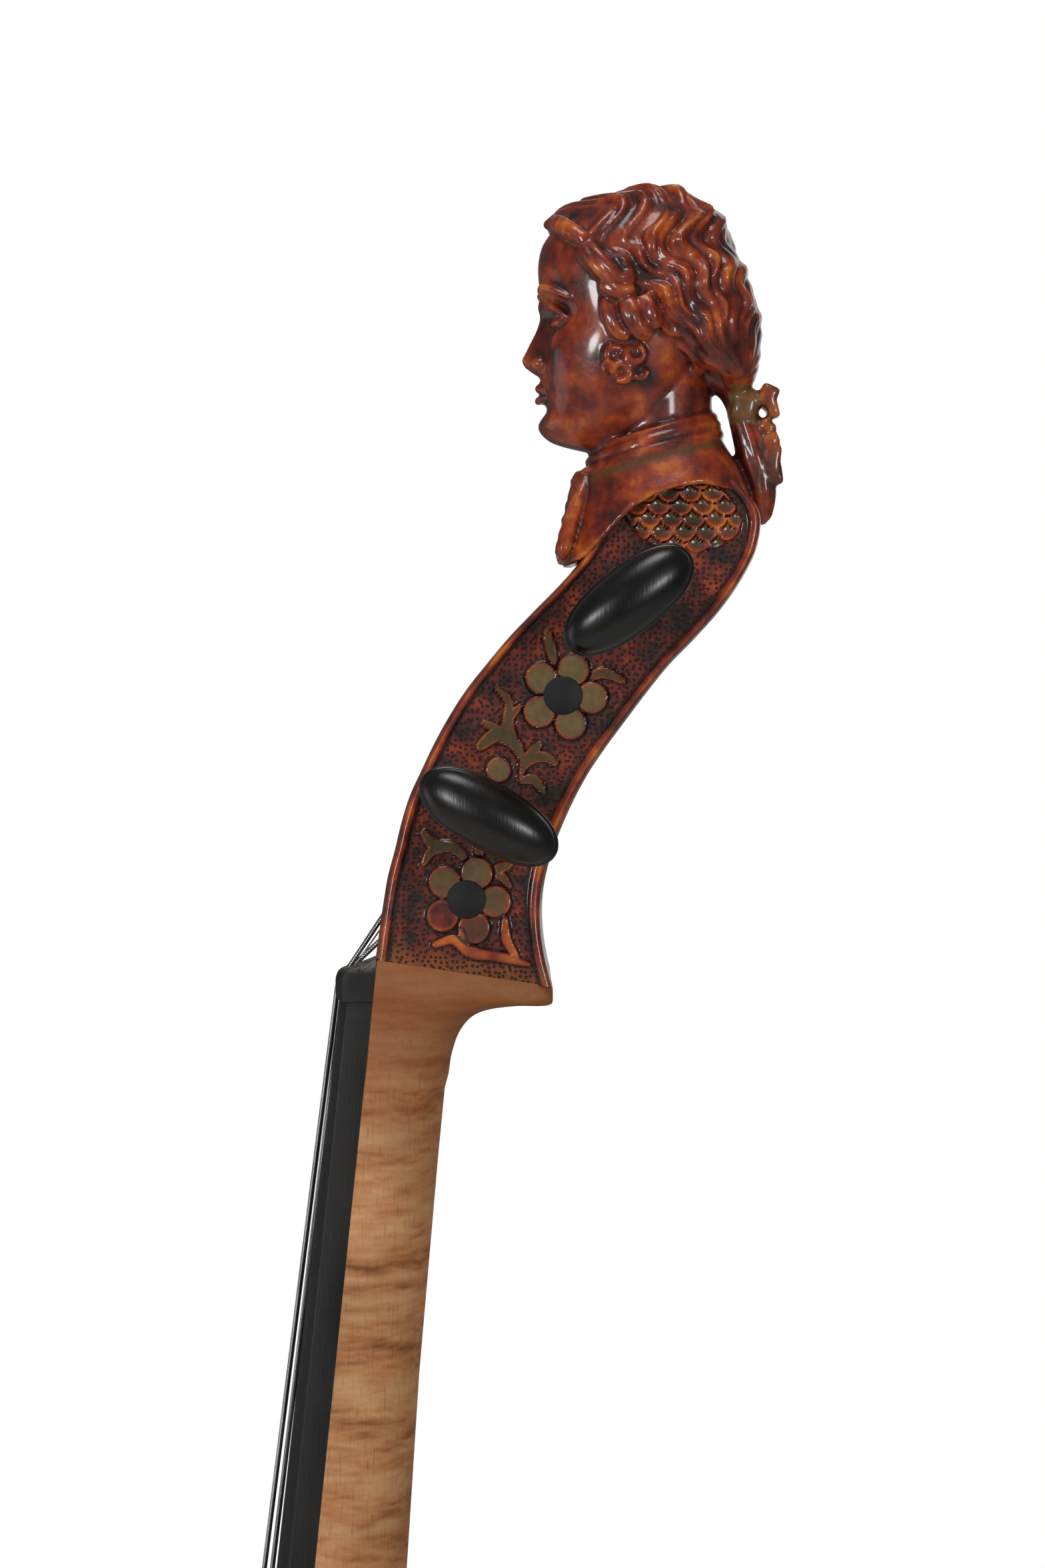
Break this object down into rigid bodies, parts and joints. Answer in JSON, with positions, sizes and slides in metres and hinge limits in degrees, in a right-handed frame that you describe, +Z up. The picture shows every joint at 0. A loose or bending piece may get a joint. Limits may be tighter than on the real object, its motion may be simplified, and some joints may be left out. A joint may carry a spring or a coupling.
{
  "type": "violin",
  "caption": "Full-size violin with a carved gentleman's head in place of the scroll, relief-carved pegbox, ebony fingerboard, nut and friction pegs, strings, bridge, tailpiece and end button.",
  "frame": {"origin": "on the end button's axis, at the outer face of its knob", "axes": "+Z runs up the instrument from the end button to the carved head, -Y is the front with belly and strings, +X is the treble side"},
  "size_m": [0.208, 0.1139, 0.631],
  "materials": {
    "varnished_spruce": "gloss",
    "varnished_maple": "gloss",
    "purfling_wood": "satin",
    "bare_willow": "matt",
    "bare_spruce": "matt",
    "carved_maple": "gloss",
    "ebony_fingerboard": "satin",
    "ebony_fittings": "satin",
    "ebony_pegs": "satin",
    "bridge_maple": "satin",
    "tail_gut": "matt",
    "string_steel": "polished"
  },
  "bodies": {
    "violin": {"belly": "varnished_spruce", "back": "varnished_maple", "belly_purfling": "purfling_wood", "back_purfling": "purfling_wood", "lower_rib_treble": "varnished_maple", "lower_rib_bass": "varnished_maple", "middle_rib_treble": "varnished_maple", "middle_rib_bass": "varnished_maple", "upper_rib_treble": "varnished_maple", "upper_rib_bass": "varnished_maple", "belly_lining_lower_treble": "bare_willow", "belly_lining_lower_bass": "bare_willow", "belly_lining_middle_treble": "bare_willow", "belly_lining_middle_bass": "bare_willow", "belly_lining_upper_treble": "bare_willow", "belly_lining_upper_bass": "bare_willow", "back_lining_lower_treble": "bare_willow", "back_lining_lower_bass": "bare_willow", "back_lining_middle_treble": "bare_willow", "back_lining_middle_bass": "bare_willow", "back_lining_upper_treble": "bare_willow", "back_lining_upper_bass": "bare_willow", "top_block": "bare_willow", "bottom_block": "bare_willow", "lower_corner_block_treble": "bare_willow", "lower_corner_block_bass": "bare_willow", "upper_corner_block_treble": "bare_willow", "upper_corner_block_bass": "bare_willow", "bass_bar": "bare_spruce", "sound_post": "bare_spruce", "neck": "carved_maple", "fingerboard": "ebony_fingerboard", "nut": "ebony_fittings", "bridge": "bridge_maple", "tailpiece": "ebony_fittings", "tailgut": "tail_gut", "saddle": "ebony_fittings", "end_button": "ebony_fittings", "string_g": "string_steel", "string_d": "string_steel", "string_a": "string_steel", "string_e": "string_steel"},
    "peg_g": {"peg_g": "ebony_pegs", "winding_g": "string_steel"},
    "peg_d": {"peg_d": "ebony_pegs", "winding_d": "string_steel"},
    "peg_a": {"peg_a": "ebony_pegs", "winding_a": "string_steel"},
    "peg_e": {"peg_e": "ebony_pegs", "winding_e": "string_steel"}
  },
  "joints": [
    {"name": "peg_g_turn", "type": "hinge", "parent": "violin", "child": "peg_g", "pos_m": [0, 0.00191, 0.51675], "axis": [-1, 0, 0], "continuous": true},
    {"name": "peg_d_turn", "type": "hinge", "parent": "violin", "child": "peg_d", "pos_m": [0, 0.0171, 0.5488], "axis": [-1, 0, 0], "continuous": true},
    {"name": "peg_a_turn", "type": "hinge", "parent": "violin", "child": "peg_a", "pos_m": [0, 0.0268, 0.5628], "axis": [1, 0, 0], "continuous": true},
    {"name": "peg_e_turn", "type": "hinge", "parent": "violin", "child": "peg_e", "pos_m": [0, 0.0056, 0.5301], "axis": [1, 0, 0], "continuous": true}
  ]
}
